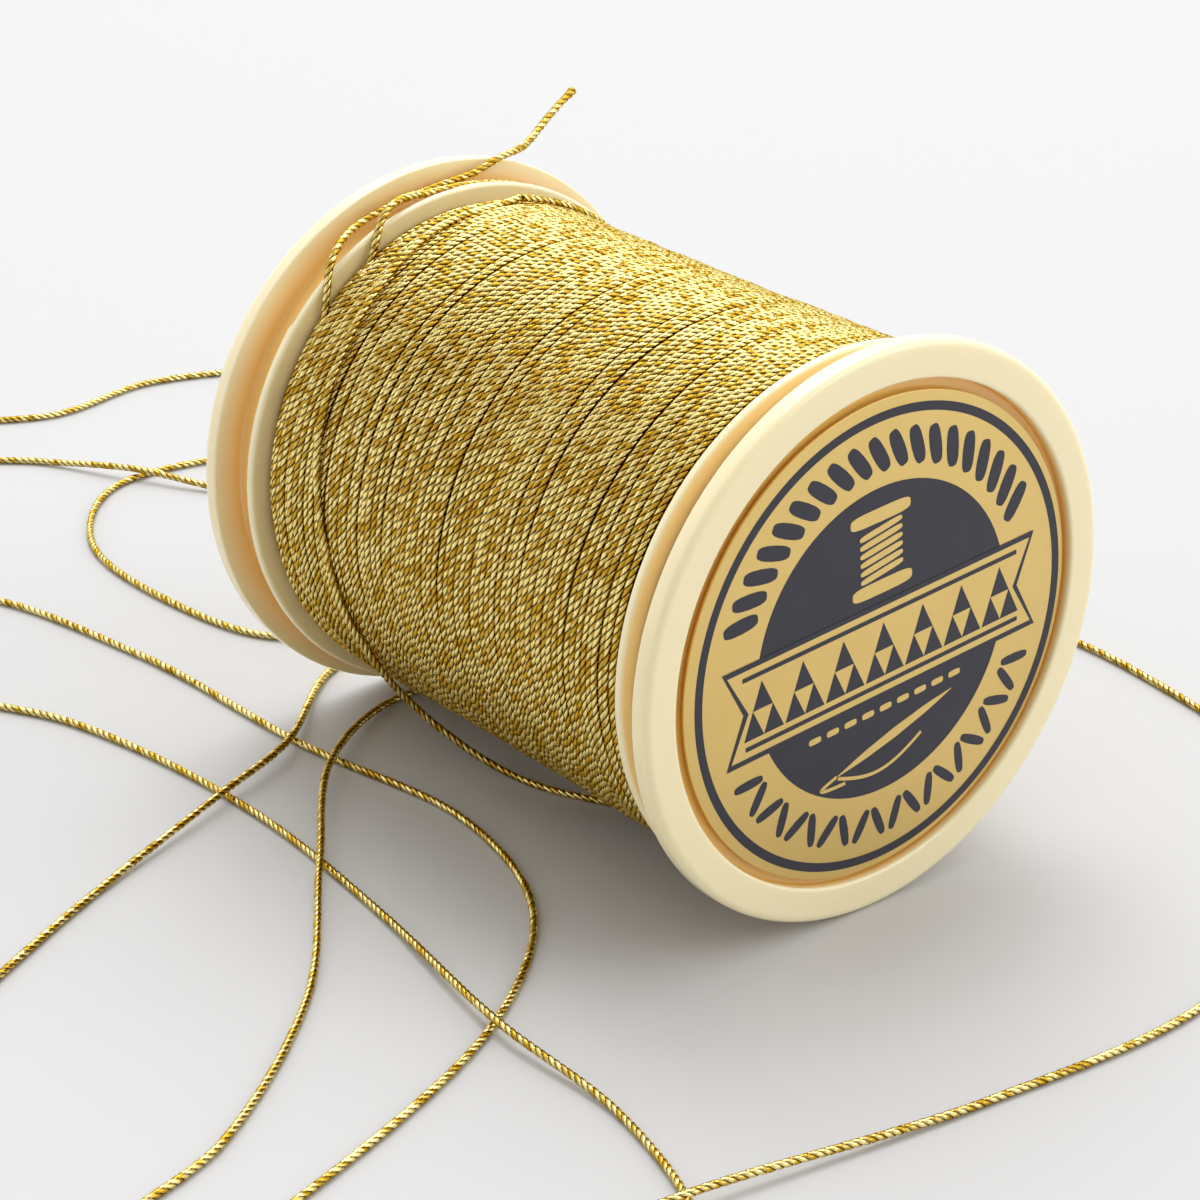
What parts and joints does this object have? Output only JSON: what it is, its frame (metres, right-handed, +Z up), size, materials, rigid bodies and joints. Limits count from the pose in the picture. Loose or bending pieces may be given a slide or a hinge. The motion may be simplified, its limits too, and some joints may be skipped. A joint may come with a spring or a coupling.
{
  "type": "thread spool",
  "caption": "Small flanged plastic spool of gold metallic thread lying on its side, with pressed end caps, round labels, a catch groove and a long loose thread.",
  "frame": {"origin": "centre of the spool's footprint on the table it lies on, midway between its two ends", "axes": "+Y along the spool's axis towards the rear end, +Z up, front label facing -Y, loose thread mostly towards -X"},
  "size_m": [0.0805, 0.1104, 0.0332],
  "materials": {
    "ivory_plastic": "glossy moulded, slightly translucent",
    "label_paper": "metallic gold coated paper with charcoal print",
    "wound_thread": "twisted metallic filament, wound",
    "loose_thread": "twisted metallic filament"
  },
  "bodies": {
    "root": {"spool_barrel": "ivory_plastic", "front_cap": "ivory_plastic", "rear_cap": "ivory_plastic", "front_label": "label_paper", "rear_label": "label_paper", "thread_winding": "wound_thread", "loose_thread_first": "loose_thread", "loose_thread_second": "loose_thread", "caught_tail": "loose_thread", "caught_start": "loose_thread"}
  },
  "joints": []
}
